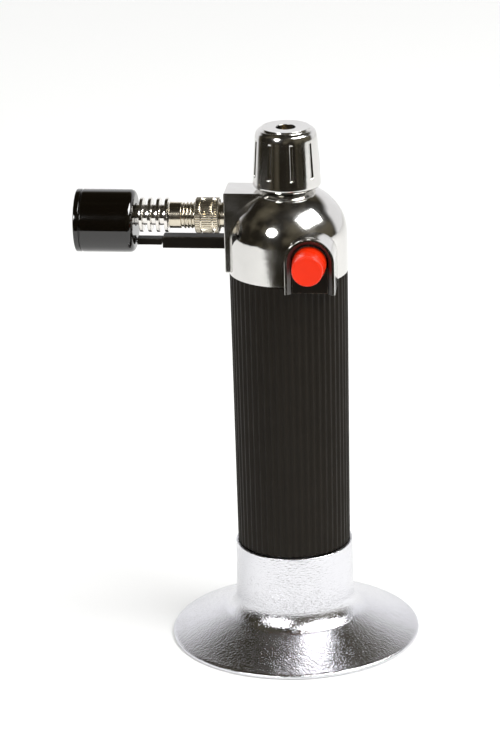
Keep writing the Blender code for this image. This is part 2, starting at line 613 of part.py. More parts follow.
# ---------------------------------------------------------------- the burner
def build_burner(axis):
    """Jet, mixing tube, finned nozzle and shade, on an axis whose local +Z points out at -X."""
    holder_end = 11.7 * MM
    bore = 0.8 * MM
    ring("jet_holder", bore, 2.4 * MM, 4.1 * MM, holder_end, axis, BRASS, SIDES_SMALL)
    jet_foot = holder_end + GAP
    outline = [(1.2 * MM, 14.6 * MM), (1.2 * MM, 13.0 * MM), (1.7 * MM, 13.0 * MM), (1.7 * MM, jet_foot)]
    outline = [(0.3 * MM, 15.4 * MM), (0.7 * MM, 15.4 * MM)] + outline + [(0.3 * MM, jet_foot)]
    turned("gas_jet", outline, axis, BRASS, SIDES_SMALL)

    tube_bore = 2.1 * MM
    shank_r = 3.0 * MM
    root_r = THREAD_R - 0.45 * MM
    tube_rear = 12.0 * MM
    flange = BLOCK_REACH + 0.15 * MM
    thread_end = 30.2 * MM
    tube_end = FIRST_FIN - GAP
    turns = 4
    pitch = (thread_end - COLLAR_FRONT) / turns
    outline = [(tube_bore, tube_end), (THREAD_R - 0.04 * MM, tube_end), (THREAD_R - 0.04 * MM, thread_end)]
    for step in range(turns):
        crest = thread_end - pitch * step
        outline += [(root_r, crest - 0.2 * pitch), (root_r, crest - 0.5 * pitch)]
        outline += [(THREAD_R, crest - 0.7 * pitch), (THREAD_R, crest - 0.95 * pitch)]
    outline += [(THREAD_R, flange), (shank_r, flange), (shank_r, tube_rear), (tube_bore, tube_rear)]
    tube = turned("mixing_tube", outline, axis, BRASS_NICKEL, SIDES_SMALL)
    for label, turn in (("across", (math.pi / 2, 0.0, 0.0)), ("upright", (0.0, math.pi / 2, 0.0))):
        hole_axis = make_axis("air_hole_%s_axis" % label, (0.0, 0.0, 22.6 * MM), turn)
        hole_axis.parent = axis
        cut(tube, rod("air_hole_" + label, 1.1 * MM, -6 * MM, 6 * MM, hole_axis, sides=12))

    hex_nut("tube_lock_nut", shank_r + GAP, 4.6 * MM, 12.9 * MM, 15.5 * MM, axis, BRASS)

    core_r = 3.0 * MM
    gas_bore = 2.0 * MM
    tip_rear = 47.0 * MM
    tip_front = 50.2 * MM
    outline = [(3.3 * MM, tip_front), (4.0 * MM, tip_front), (4.0 * MM, tip_rear), (core_r, tip_rear - 0.8 * MM)]
    for step in reversed(range(FIN_COUNT)):
        fin_rear = FIRST_FIN + FIN_PITCH * step
        fin_front = fin_rear + FIN_THICK
        outline += [(core_r, fin_front), (FIN_R, fin_front - 0.1 * MM)]
        outline += [(FIN_R, fin_rear + 0.1 * MM), (core_r, fin_rear)]
    outline += [(gas_bore, FIRST_FIN), (gas_bore, tip_rear), (3.3 * MM, tip_rear + 0.8 * MM)]
    turned("finned_nozzle", outline, axis, STEEL_BRIGHT, SIDES_MEDIUM)

    holder = rod("flame_holder", 3.0 * MM, tip_rear + 1.3 * MM, tip_front - 0.5 * MM, axis, BRASS)
    for step in range(6):
        angle = 2 * math.pi * step / 6
        place = (1.9 * MM * math.cos(angle), 1.9 * MM * math.sin(angle), 0.0)
        cut(holder, rod("port_%d" % step, 0.5 * MM, tip_rear, tip_front + 1 * MM, axis, sides=8, shift=place))
    cut(holder, rod("port_middle", 0.6 * MM, tip_rear, tip_front + 1 * MM, axis, sides=8))

    corner = 1.7 * MM
    inner = SHADE_R - SHADE_WALL
    mouth = NOZZLE_REACH
    floor = SHADE_REAR + SHADE_WALL
    lip = 0.35 * MM
    outline = [(inner, mouth - lip), (inner + lip, mouth), (SHADE_R - lip, mouth), (SHADE_R, mouth - lip)]
    outline += [(SHADE_R, mouth - 1.5 * MM), (SHADE_R - 0.2 * MM, mouth - 1.7 * MM)]
    outline += [(SHADE_R, mouth - 1.9 * MM)]
    outline += arc((SHADE_R - corner, SHADE_REAR + corner), (corner, corner), 0, -90, 4)
    outline += [(0.0, SHADE_REAR), (0.0, floor), (inner, floor)]
    drop = (-SHADE_DROP, 0.0, 0.0)
    shade = turned_cup("flame_shade", outline, axis, ENAMEL_BLACK, drop)
    cut(shade, rod("nozzle_hole", core_r + GAP, SHADE_REAR - 2 * MM, floor + 2 * MM, axis))
    place = (LEAD_Z - BURNER_Z, 0.0, 0.0)
    cut(shade, rod("electrode_hole", 0.9 * MM, SHADE_REAR - 2 * MM, floor + 2 * MM, axis, shift=place))


def turned_cup(name, outline, axis, finish, shift):
    """A cup whose outline meets the axis twice, outside and inside its floor."""
    on_axis = [index for index, point in enumerate(outline) if point[0] == 0.0]
    first_inside = on_axis[1]
    outline = outline[first_inside:] + outline[:first_inside]
    return turned(name, outline, axis, finish, SIDES_MEDIUM, shift)


def build_air_control(axis):
    """The air shutter sleeve and the knurled collar that screws it along the tube."""
    inner = THREAD_R + 0.2 * MM
    outer = inner + 0.35 * MM
    ring("air_shutter", inner, outer, COLLAR_REAR + GAP, COLLAR_FRONT - GAP, axis, STEEL_PLAIN, SIDES_SMALL)
    bore = outer + GAP
    groove_r = COLLAR_R - 0.2 * MM
    outline = [(bore, COLLAR_FRONT), (COLLAR_R - 0.15 * MM, COLLAR_FRONT), (COLLAR_R, COLLAR_FRONT - 0.15 * MM)]
    for middle in (24.6 * MM, 21.0 * MM):
        outline += [(COLLAR_R, middle + 0.2 * MM), (groove_r, middle + 0.15 * MM)]
        outline += [(groove_r, middle - 0.15 * MM), (COLLAR_R, middle - 0.2 * MM)]
    outline += [(COLLAR_R, COLLAR_REAR + 0.15 * MM), (COLLAR_R - 0.15 * MM, COLLAR_REAR), (bore, COLLAR_REAR)]
    turned("air_collar", outline, axis, BRASS_NICKEL, SIDES_MEDIUM)


# ---------------------------------------------------------------- build everything
clear_scene()
PARTS = new_collection("butane_torch")
CUTTERS = new_collection("cutters")

CHROME = make_finish("chrome", (0.62, 0.61, 0.60), 1.0, 0.07)
CHROME_SATIN = make_finish("chrome_satin", (0.66, 0.66, 0.68), 1.0, 0.24)
ALUMINIUM = make_finish("aluminium", (0.60, 0.61, 0.62), 1.0, 0.35)
STEEL_PLAIN = make_finish("steel", (0.50, 0.50, 0.52), 1.0, 0.35)
STEEL_BRIGHT = make_finish("steel_bright", (0.64, 0.61, 0.56), 1.0, 0.15)
BRASS = make_finish("brass", (0.62, 0.46, 0.20), 1.0, 0.25)
BRASS_NICKEL = make_finish("brass_nickel", (0.62, 0.56, 0.44), 1.0, 0.22)
RUBBER_BLACK = make_finish("rubber_black", (0.022, 0.018, 0.012), 0.0, 0.55)
PLASTIC_BLACK = make_finish("plastic_black", (0.015, 0.012, 0.009), 0.0, 0.35)
PLASTIC_WHITE = make_finish("plastic_white", (0.75, 0.74, 0.70), 0.0, 0.40)
PLASTIC_RED = make_finish("plastic_red", (0.83, 0.05, 0.01), 0.0, 0.30)
ENAMEL_BLACK = make_finish("enamel_black", (0.006, 0.004, 0.003), 0.0, 0.08)

tank_axis = make_axis("tank_axis", (TANK_X, 0.0, 0.0))
knob_axis = make_axis("knob_axis", (TANK_X, 0.0, 0.0))
burner_axis = make_axis("burner_axis", (TANK_X, 0.0, BURNER_Z), (0.0, -math.pi / 2, 0.0))
button_axis = make_axis("button_axis", (TANK_X + HOOD_X, 0.0, BUTTON_Z), (math.pi / 2, 0.0, 0.0))

build_stand(tank_axis)
build_tank(tank_axis)
build_refill_valve(tank_axis)
build_gas_valve(tank_axis)
build_gas_knob(knob_axis)
build_head(tank_axis)
build_igniter(button_axis)
build_lead(tank_axis)
build_burner(burner_axis)
build_air_control(burner_axis)
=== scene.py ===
# %% [markdown]
# # A butane micro torch
#
# This lesson dresses a finished CAD model of a bench torch: a chrome head with a side
# burner, a ribbed rubber grip and a flared satin stand. The CAD model is loaded as a
# fixed frame. The pieces made here take their places and outer sizes from that frame,
# apart from some curves of the head, the knob and the stand, which repeat its values.
# Each piece rides on the body that carries the real one.

# %% Load the frame
import json
import math

import bpy
from mathutils import Matrix, Vector


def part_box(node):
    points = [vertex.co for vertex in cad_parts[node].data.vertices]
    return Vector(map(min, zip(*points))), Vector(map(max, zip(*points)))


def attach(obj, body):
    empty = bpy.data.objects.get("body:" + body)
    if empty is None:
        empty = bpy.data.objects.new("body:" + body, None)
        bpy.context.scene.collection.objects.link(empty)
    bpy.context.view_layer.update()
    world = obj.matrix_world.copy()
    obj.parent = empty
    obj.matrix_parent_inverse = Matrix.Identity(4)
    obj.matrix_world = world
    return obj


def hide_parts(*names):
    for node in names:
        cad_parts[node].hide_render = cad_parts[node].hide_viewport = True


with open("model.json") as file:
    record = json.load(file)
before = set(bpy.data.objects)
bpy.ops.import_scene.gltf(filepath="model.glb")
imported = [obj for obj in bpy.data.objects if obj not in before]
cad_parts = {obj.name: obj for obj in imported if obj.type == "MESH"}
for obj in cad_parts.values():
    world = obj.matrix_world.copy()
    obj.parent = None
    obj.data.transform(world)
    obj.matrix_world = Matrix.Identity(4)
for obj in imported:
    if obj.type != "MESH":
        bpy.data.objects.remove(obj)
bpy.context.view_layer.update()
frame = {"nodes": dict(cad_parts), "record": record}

MM = 0.001

# %% [markdown]
# ## Places read from the frame
#
# The tank's axis, the burner's axis and the button's axis are the three lines that
# almost every piece is turned on. They are read from the boxes of the CAD nodes, so
# these lines move with the design. Values written in millimetres further down do not.

# %% Axes and heights
def middle(node):
    low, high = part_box(node)
    return (low + high) / 2


def size(node):
    low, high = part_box(node)
    return high - low


tank = Vector((middle("fuel_tank").x, 0.0, 0.0))
burner = Vector((tank.x, 0.0, middle("air_collar").z))
button = Vector((middle("igniter_button").x, 0.0, middle("igniter_button").z))
grip_low, grip_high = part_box("grip_sleeve")
head_low, head_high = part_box("head_shell")
knob_low, knob_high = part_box("gas_knob")
stand_low, stand_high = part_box("stand_bell")
print("tank axis at x =", round(tank.x / MM, 2), "mm, burner axis at z =", round(burner.z / MM, 2), "mm")

# %% [markdown]
# ## Hand tools
#
# Three habits are used over and over. A *turned* piece starts as one vertex, is
# extruded along its outline and spun round its axis, as on a lathe. A piece is then
# *pressed* in places by selecting vertices by their angle and scaling them towards
# the axis, which makes ribs and knurls. Last it is *placed*: turned, moved, and its
# transform applied, so that its object ends at the origin.

# %% Lathe, press and place
def clear_selection():
    if bpy.context.object and bpy.context.object.mode != "OBJECT":
        bpy.ops.object.mode_set(mode="OBJECT")
    bpy.ops.object.select_all(action="DESELECT")


def only(piece):
    clear_selection()
    piece.select_set(True)
    bpy.context.view_layer.objects.active = piece


def rounded(points, steps=4):
    """Replace each (radius, height, fillet) corner that has a fillet by a short arc."""
    line = []
    count = len(points)
    for index, point in enumerate(points):
        here = Vector(point[:2])
        fillet = point[2] if len(point) > 2 else 0.0
        if fillet == 0.0:
            line.append(here)
            continue
        before = Vector(points[index - 1][:2]) - here
        after = Vector(points[(index + 1) % count][:2]) - here
        reach = min(fillet, before.length * 0.45, after.length * 0.45)
        start = here + before.normalized() * reach
        end = here + after.normalized() * reach
        for step in range(steps + 1):
            t = step / steps
            line.append(start * (1 - t) ** 2 + here * 2 * t * (1 - t) + end * t ** 2)
    return line


def lathe(name, outline, sides, fillet_steps=4):
    """Turn an outline of (radius, height[, fillet]) about the world's Z axis."""
    line = rounded(outline, fillet_steps)
    if line[0].x > 0.0 or line[-1].x > 0.0:
        line.append(line[0])
    clear_selection()
    bpy.ops.mesh.primitive_plane_add(size=0.1 * MM, location=(line[0].x, 0.0, line[0].y))
    piece = bpy.context.object
    piece.name = name
    bpy.ops.object.transform_apply(location=True, rotation=True, scale=True)
    bpy.ops.object.mode_set(mode="EDIT")
    bpy.ops.mesh.select_all(action="SELECT")
    bpy.ops.mesh.merge(type="CENTER")
    for here, there in zip(line, line[1:]):
        step = (there.x - here.x, 0.0, there.y - here.y)
        bpy.ops.mesh.extrude_vertices_move(TRANSFORM_OT_translate={"value": step})
    bpy.ops.mesh.select_all(action="SELECT")
    bpy.ops.mesh.spin(steps=sides, angle=2 * math.pi, center=(0, 0, 0), axis=(0, 0, 1))
    bpy.ops.mesh.select_all(action="SELECT")
    bpy.ops.mesh.remove_doubles(threshold=0.0005 * MM)
    bpy.ops.mesh.normals_make_consistent(inside=False)
    bpy.ops.object.mode_set(mode="OBJECT")
    return piece


def press(piece, teeth, depths, low, high, least=0.0):
    """Scale rings of vertices towards Z: depths says how far, for each step round a tooth."""
    steps = len(depths)
    for phase, depth in enumerate(depths):
        if depth == 0.0:
            continue
        only(piece)
        bpy.ops.object.mode_set(mode="EDIT")
        bpy.ops.mesh.select_all(action="DESELECT")
        bpy.ops.object.mode_set(mode="OBJECT")
        reach = 0.0
        for vertex in piece.data.vertices:
            turn = math.atan2(vertex.co.y, vertex.co.x) / (2 * math.pi) * teeth * steps
            radius = math.hypot(vertex.co.x, vertex.co.y)
            inside = low < vertex.co.z < high and radius > least
            vertex.select = inside and round(turn) % steps == phase
            if vertex.select:
                reach = max(reach, radius)
        factor = (reach - depth) / reach
        bpy.ops.object.mode_set(mode="EDIT")
        bpy.ops.transform.resize(value=(factor, factor, 1.0), center_override=(0.0, 0.0, 0.0))
        bpy.ops.object.mode_set(mode="OBJECT")


def place(piece, spot, turn=(0.0, 0.0, 0.0)):
    only(piece)
    piece.rotation_euler = turn
    piece.location = spot
    bpy.ops.object.transform_apply(location=True, rotation=True, scale=True)


def soften(piece, degrees=32):
    """Smooth the shading, keep crisp edges crisp, and let the large faces set the normals."""
    only(piece)
    bpy.ops.object.shade_smooth_by_angle(angle=math.radians(degrees))
    even = piece.modifiers.new("even_normals", "WEIGHTED_NORMAL")
    even.keep_sharp = True
    bpy.ops.object.modifier_apply(modifier="even_normals")


ALONG_BURNER = (0.0, -math.pi / 2, 0.0)     # local +Z to world -X
ALONG_BUTTON = (math.pi / 2, 0.0, 0.0)      # local +Z to world -Y


def tell(piece):
    triangles = sum(len(face.vertices) - 2 for face in piece.data.polygons)
    print(piece.name, triangles, "triangles")


# %% [markdown]
# ## Boxes, cutters and Booleans
#
# The head is a casting: a dome, a square block and a hood that run into each other.
# The simplest true way is the foundry's way, solids joined and then hollowed, so a
# few helpers add a solid, join it or cut with it, and apply the modifier at once.

# %% Solid helpers
def box(name, low, high, bevel=0.0, segments=3):
    clear_selection()
    low = Vector(low)
    high = Vector(high)
    bpy.ops.mesh.primitive_cube_add(size=1.0, location=(low + high) / 2)
    piece = bpy.context.object
    piece.name = name
    piece.scale = high - low
    bpy.ops.object.transform_apply(location=True, rotation=True, scale=True)
    if bevel:
        bpy.ops.object.mode_set(mode="EDIT")
        bpy.ops.mesh.select_all(action="SELECT")
        bpy.ops.mesh.bevel(offset=bevel, segments=segments, affect="EDGES")
        bpy.ops.object.mode_set(mode="OBJECT")
    return piece


def combine(piece, other, operation):
    only(piece)
    step = piece.modifiers.new("combine", "BOOLEAN")
    step.operation = operation
    step.object = other
    step.solver = "EXACT"
    bpy.ops.object.modifier_apply(modifier=step.name)
    bpy.data.objects.remove(other, do_unlink=True)


def arch(name, sections, foot, spot, sides=48):
    """A round-topped prism along local Y. sections are (radius, y, shift) triples, front first."""
    clear_selection()
    radius, y, shift = sections[0]
    bpy.ops.mesh.primitive_circle_add(vertices=2 * sides, radius=radius, fill_type="NGON",
                                      location=(shift, y, 0), rotation=(math.pi / 2, 0, 0))
    piece = bpy.context.object
    piece.name = name
    bpy.ops.object.transform_apply(location=True, rotation=True, scale=True)
    bpy.ops.object.mode_set(mode="EDIT")
    for new_radius, new_y, new_shift in sections[1:]:
        step = (new_shift - shift, new_y - y, 0.0)
        bpy.ops.mesh.extrude_region_move(TRANSFORM_OT_translate={"value": step})
        factor = new_radius / radius
        bpy.ops.transform.resize(value=(factor, 1.0, factor), center_override=(new_shift, new_y, 0.0))
        radius, y, shift = new_radius, new_y, new_shift
    bpy.ops.object.mode_set(mode="OBJECT")
    # the lower half of each round section is drawn down to the foot as two straight legs
    drop = spot[2] - foot
    for vertex in piece.data.vertices:
        if vertex.co.z > -0.001 * MM:
            continue
        radius, y, shift = min(sections, key=lambda section: abs(section[1] - vertex.co.y))
        across = vertex.co.x - shift
        side_sign = 1.0 if across > 0.0 else -1.0
        share = math.acos(min(1.0, abs(across) / radius)) / (math.pi / 2)
        leg = min(1.0, share / 0.5)
        sole = max(0.0, share - 0.5) / 0.5
        vertex.co.x = shift + side_sign * radius * (1.0 - sole)
        vertex.co.z = -leg * drop
    only(piece)
    bpy.ops.object.mode_set(mode="EDIT")
    bpy.ops.mesh.select_all(action="SELECT")
    bpy.ops.mesh.normals_make_consistent(inside=False)
    bpy.ops.object.mode_set(mode="OBJECT")
    place(piece, spot)
    return piece


# %% [markdown]
# ## The camera
#
# The torch is seen from a little above, with a long lens, and the burner points away
# to the left. The camera stands in front of the tank, turned to that view, with a
# slight roll as a hand-held frame has.

# %% Camera
VIEW_YAW = math.radians(7.0)
VIEW_PITCH = math.radians(19.735)
VIEW_ROLL = math.radians(-1.47)
VIEW_DISTANCE = 900.0 * MM
VIEW_HEIGHT = 403.0 * MM
VIEW_SIDE = -11.8 * MM
LENS = 159.1

camera_data = bpy.data.cameras.new("camera")
camera = bpy.data.objects.new("camera", camera_data)
bpy.context.scene.collection.objects.link(camera)
side = Vector((math.cos(VIEW_YAW), math.sin(VIEW_YAW), 0.0))
ahead = Vector((-math.sin(VIEW_YAW), math.cos(VIEW_YAW), 0.0))
spot = tank + side * VIEW_SIDE - ahead * VIEW_DISTANCE + Vector((0.0, 0.0, VIEW_HEIGHT))
turn = Matrix.Rotation(VIEW_YAW, 4, "Z") @ Matrix.Rotation(math.pi / 2 - VIEW_PITCH, 4, "X")
camera.matrix_world = Matrix.Translation(spot) @ turn @ Matrix.Rotation(VIEW_ROLL, 4, "Z")
camera_data.lens = LENS
camera_data.sensor_width = 36.0
camera_data.clip_start = 0.01
camera_data.clip_end = 20.0
bpy.context.scene.camera = camera
print("camera at", [round(v / MM) for v in spot], "mm")

# %% [markdown]
# ## Studio
#
# A pale sweep, a large soft box on the right, a small round lamp on the left of the
# camera, and a world that is white behind the object and dark on the camera's side.
# Chrome has no colour of its own, so this is most of what it shows.

# %% Floor
FLOOR_LEFT = -0.52
FLOOR_RIGHT = 1.60
FLOOR_FRONT = -0.285
FLOOR_BACK = 2.40
clear_selection()
bpy.ops.mesh.primitive_plane_add(size=1.0, location=(0, 0, 0))
floor = bpy.context.object
floor.name = "floor"
floor.scale = (FLOOR_RIGHT - FLOOR_LEFT, FLOOR_BACK - FLOOR_FRONT, 1.0)
floor.location = ((FLOOR_RIGHT + FLOOR_LEFT) / 2, (FLOOR_BACK + FLOOR_FRONT) / 2, -0.2 * MM)
bpy.ops.object.transform_apply(location=True, rotation=True, scale=True)
floor.rotation_euler = (0.0, 0.0, VIEW_YAW)
bpy.ops.object.transform_apply(location=True, rotation=True, scale=True)

floor_paint = bpy.data.materials.new("floor_paper")
floor_paint.use_nodes = True
floor_shader = floor_paint.node_tree.nodes["Principled BSDF"]
floor_shader.inputs["Base Color"].default_value = (0.93, 0.93, 0.92, 1.0)
floor_shader.inputs["Roughness"].default_value = 0.8
floor_shader.inputs["Specular IOR Level"].default_value = 0.2
floor.data.materials.append(floor_paint)


# %% Lamps
LAMP_DISTANCE = 0.9


def soft_lamp(name, direction, width, height, brightness, spill, shape="RECTANGLE"):
    """A bright face for reflections and a gentler twin for the light that it throws."""
    aim = Vector((tank.x, 0.0, 0.11))
    way = side * direction[0] - ahead * direction[1] + Vector((0.0, 0.0, direction[2]))
    for label, power in (("_face", brightness), ("_spill", spill)):
        data = bpy.data.lights.new(name + label, "AREA")
        data.shape = shape
        data.size = width
        data.size_y = height
        data.energy = power
        lamp = bpy.data.objects.new(name + label, data)
        bpy.context.scene.collection.objects.link(lamp)
        lamp.location = aim + way.normalized() * LAMP_DISTANCE
        lamp.rotation_euler = (aim - lamp.location).to_track_quat("-Z", "Y").to_euler()
        lamp.visible_diffuse = label == "_spill"
        lamp.visible_glossy = label == "_face"


soft_lamp("soft_box_right", (0.594, 0.333, 0.733), 0.66, 0.40, 14.0, 6.5)
soft_lamp("round_lamp_left", (-0.516, 0.742, 0.428), 0.30, 0.30, 4.0, 1.2, "DISK")

# %% World
world = bpy.data.worlds.new("studio")
bpy.context.scene.world = world
world.use_nodes = True
web = world.node_tree
web.nodes.clear()


def node(tree, kind, **values):
    made = tree.nodes.new(kind)
    for key, value in values.items():
        setattr(made, key, value)
    return made


place_in_world = node(web, "ShaderNodeTexCoord")
aim_world = node(web, "ShaderNodeMapping")
aim_world.inputs["Rotation"].default_value = (0.0, 0.0, math.radians(6.0) - VIEW_YAW)
split = node(web, "ShaderNodeSeparateXYZ")
web.links.new(place_in_world.outputs["Generated"], aim_world.inputs["Vector"])
web.links.new(aim_world.outputs["Vector"], split.inputs[0])

# white backdrop behind the object, up to about half way to the zenith
behind = node(web, "ShaderNodeMapRange", interpolation_type="SMOOTHSTEP")
behind.inputs["From Min"].default_value = 0.30
behind.inputs["From Max"].default_value = 0.50
web.links.new(split.outputs["Y"], behind.inputs["Value"])
low_part = node(web, "ShaderNodeMapRange", interpolation_type="SMOOTHSTEP")
low_part.inputs["From Min"].default_value = 0.62
low_part.inputs["From Max"].default_value = 0.42
web.links.new(split.outputs["Z"], low_part.inputs["Value"])
white_part = node(web, "ShaderNodeMath", operation="MULTIPLY")
web.links.new(behind.outputs["Result"], white_part.inputs[0])
web.links.new(low_part.outputs["Result"], white_part.inputs[1])
shades = node(web, "ShaderNodeMix", data_type="RGBA")
# the dark side of the room is a little uneven, as a real one is
room = node(web, "ShaderNodeTexNoise")
room.inputs["Scale"].default_value = 1.7
room.inputs["Detail"].default_value = 2.0
web.links.new(aim_world.outputs["Vector"], room.inputs["Vector"])
room_spread = node(web, "ShaderNodeMapRange")
room_spread.inputs["From Min"].default_value = 0.42
room_spread.inputs["From Max"].default_value = 0.66
web.links.new(room.outputs["Fac"], room_spread.inputs["Value"])
room_shades = node(web, "ShaderNodeMix", data_type="RGBA")
room_shades.inputs["A"].default_value = (0.016, 0.013, 0.008, 1.0)
room_shades.inputs["B"].default_value = (0.115, 0.100, 0.068, 1.0)
web.links.new(room_spread.outputs["Result"], room_shades.inputs["Factor"])
web.links.new(room_shades.outputs["Result"], shades.inputs["A"])
shades.inputs["B"].default_value = (1.0, 1.0, 1.02, 1.0)
web.links.new(white_part.outputs["Value"], shades.inputs["Factor"])
seen_by_object = node(web, "ShaderNodeBackground")
web.links.new(shades.outputs["Result"], seen_by_object.inputs["Color"])
seen_plain = node(web, "ShaderNodeBackground")
seen_plain.inputs["Color"].default_value = (1.0, 1.0, 1.0, 1.0)
seen_plain.inputs["Strength"].default_value = 0.90
rays = node(web, "ShaderNodeLightPath")
choose = node(web, "ShaderNodeMixShader")
web.links.new(rays.outputs["Is Glossy Ray"], choose.inputs["Fac"])
web.links.new(seen_plain.outputs[0], choose.inputs[1])
web.links.new(seen_by_object.outputs[0], choose.inputs[2])
sky = node(web, "ShaderNodeOutputWorld")
web.links.new(choose.outputs[0], sky.inputs["Surface"])
bpy.context.scene.view_settings.view_transform = "Standard"
print("studio lit")

# %% [markdown]
# ## Finishes
#
# Four small effects are shared by the finishes, so each is a node group with its
# own dials: a fine grain that tips the normal, smudges that vary the roughness, a
# drift between two near colours, and, on three finishes, a mask of the edges that handling wears bright.
# The mask compares the true normal with one rounded over the edges by a Bevel node.
# The Principled shader stays in each material.

# %% Shared effects
def effect(name, inputs, outputs):
    tree = bpy.data.node_groups.new(name, "ShaderNodeTree")
    for label, kind, value in inputs:
        socket = tree.interface.new_socket(name=label, in_out="INPUT", socket_type=kind)
        socket.default_value = value
    for label, kind in outputs:
        tree.interface.new_socket(name=label, in_out="OUTPUT", socket_type=kind)
    entry = tree.nodes.new("NodeGroupInput")
    leave = tree.nodes.new("NodeGroupOutput")
    return tree, entry, leave


def object_noise(tree, entry, detail=3.0):
    where = tree.nodes.new("ShaderNodeTexCoord")
    noise = tree.nodes.new("ShaderNodeTexNoise")
    noise.inputs["Detail"].default_value = detail
    tree.links.new(where.outputs["Object"], noise.inputs["Vector"])
    tree.links.new(entry.outputs["Scale"], noise.inputs["Scale"])
    return noise


grain, entry, leave = effect(
    "fine_grain",
    [("Scale", "NodeSocketFloat", 2000.0), ("Strength", "NodeSocketFloat", 0.2),
     ("Depth", "NodeSocketFloat", 0.00002)],
    [("Normal", "NodeSocketVector")])
noise = object_noise(grain, entry)
bump = grain.nodes.new("ShaderNodeBump")
grain.links.new(noise.outputs["Fac"], bump.inputs["Height"])
grain.links.new(entry.outputs["Strength"], bump.inputs["Strength"])
grain.links.new(entry.outputs["Depth"], bump.inputs["Distance"])
grain.links.new(bump.outputs["Normal"], leave.inputs["Normal"])

smudges, entry, leave = effect(
    "smudges",
    [("Scale", "NodeSocketFloat", 120.0), ("Clean", "NodeSocketFloat", 0.05),
     ("Smudged", "NodeSocketFloat", 0.12)],
    [("Roughness", "NodeSocketFloat")])
noise = object_noise(smudges, entry, 5.0)
spread = smudges.nodes.new("ShaderNodeMapRange")
spread.inputs["From Min"].default_value = 0.35
spread.inputs["From Max"].default_value = 0.7
smudges.links.new(noise.outputs["Fac"], spread.inputs["Value"])
smudges.links.new(entry.outputs["Clean"], spread.inputs["To Min"])
smudges.links.new(entry.outputs["Smudged"], spread.inputs["To Max"])
smudges.links.new(spread.outputs["Result"], leave.inputs["Roughness"])

drift, entry, leave = effect(
    "colour_drift",
    [("Scale", "NodeSocketFloat", 300.0), ("Main", "NodeSocketColor", (0.5, 0.5, 0.5, 1.0)),
     ("Other", "NodeSocketColor", (0.4, 0.4, 0.4, 1.0))],
    [("Color", "NodeSocketColor")])
noise = object_noise(drift, entry, 4.0)
blend = drift.nodes.new("ShaderNodeMix")
blend.data_type = "RGBA"
drift.links.new(noise.outputs["Fac"], blend.inputs["Factor"])
drift.links.new(entry.outputs["Main"], blend.inputs["A"])
drift.links.new(entry.outputs["Other"], blend.inputs["B"])
drift.links.new(blend.outputs["Result"], leave.inputs["Color"])

worn_edges, entry, leave = effect(
    "worn_edges",
    [("Scale", "NodeSocketFloat", 900.0), ("Reach", "NodeSocketFloat", 0.0002)],
    [("Mask", "NodeSocketFloat")])
noise = object_noise(worn_edges, entry, 3.0)
patchy = worn_edges.nodes.new("ShaderNodeMapRange")
patchy.inputs["From Min"].default_value = 0.30
patchy.inputs["From Max"].default_value = 0.55
worn_edges.links.new(noise.outputs["Fac"], patchy.inputs["Value"])
eased = worn_edges.nodes.new("ShaderNodeBevel")
worn_edges.links.new(entry.outputs["Reach"], eased.inputs["Radius"])
surface = worn_edges.nodes.new("ShaderNodeNewGeometry")
agree = worn_edges.nodes.new("ShaderNodeVectorMath")
agree.operation = "DOT_PRODUCT"
worn_edges.links.new(eased.outputs["Normal"], agree.inputs[0])
worn_edges.links.new(surface.outputs["Normal"], agree.inputs[1])
edge = worn_edges.nodes.new("ShaderNodeMapRange")
edge.inputs["From Min"].default_value = 0.98
edge.inputs["From Max"].default_value = 0.86
worn_edges.links.new(agree.outputs["Value"], edge.inputs["Value"])
both = worn_edges.nodes.new("ShaderNodeMath")
both.operation = "MULTIPLY"
worn_edges.links.new(edge.outputs["Result"], both.inputs[0])
worn_edges.links.new(patchy.outputs["Result"], both.inputs[1])
worn_edges.links.new(both.outputs["Value"], leave.inputs["Mask"])


# %% One finish
def finish(name, main, other, metallic, clean, smudged, grain_scale, grain_strength,
           grain_depth, smudge_scale=120.0, drift_scale=300.0, coat=0.0, specular=0.5, worn=None):
    paint = bpy.data.materials.new(name)
    paint.use_nodes = True
    tree = paint.node_tree
    shader = tree.nodes["Principled BSDF"]
    shader.inputs["Metallic"].default_value = metallic
    shader.inputs["Coat Weight"].default_value = coat
    shader.inputs["Coat Roughness"].default_value = 0.04
    shader.inputs["Specular IOR Level"].default_value = specular

    def add(group, values):
        made = tree.nodes.new("ShaderNodeGroup")
        made.node_tree = group
        for label, value in values.items():
            made.inputs[label].default_value = value
        return made

    colour = add(drift, {"Scale": drift_scale, "Main": (*main, 1.0), "Other": (*other, 1.0)})
    rough = add(smudges, {"Scale": smudge_scale, "Clean": clean, "Smudged": smudged})
    fine = add(grain, {"Scale": grain_scale, "Strength": grain_strength, "Depth": grain_depth})
    if worn:
        edges = add(worn_edges, {})
        rub = tree.nodes.new("ShaderNodeMix")
        rub.data_type = "RGBA"
        rub.inputs["B"].default_value = (*worn, 1.0)
        tree.links.new(edges.outputs["Mask"], rub.inputs["Factor"])
        tree.links.new(colour.outputs["Color"], rub.inputs["A"])
        tree.links.new(rub.outputs["Result"], shader.inputs["Base Color"])
    else:
        tree.links.new(colour.outputs["Color"], shader.inputs["Base Color"])
    tree.links.new(rough.outputs["Roughness"], shader.inputs["Roughness"])
    tree.links.new(fine.outputs["Normal"], shader.inputs["Normal"])
    return paint


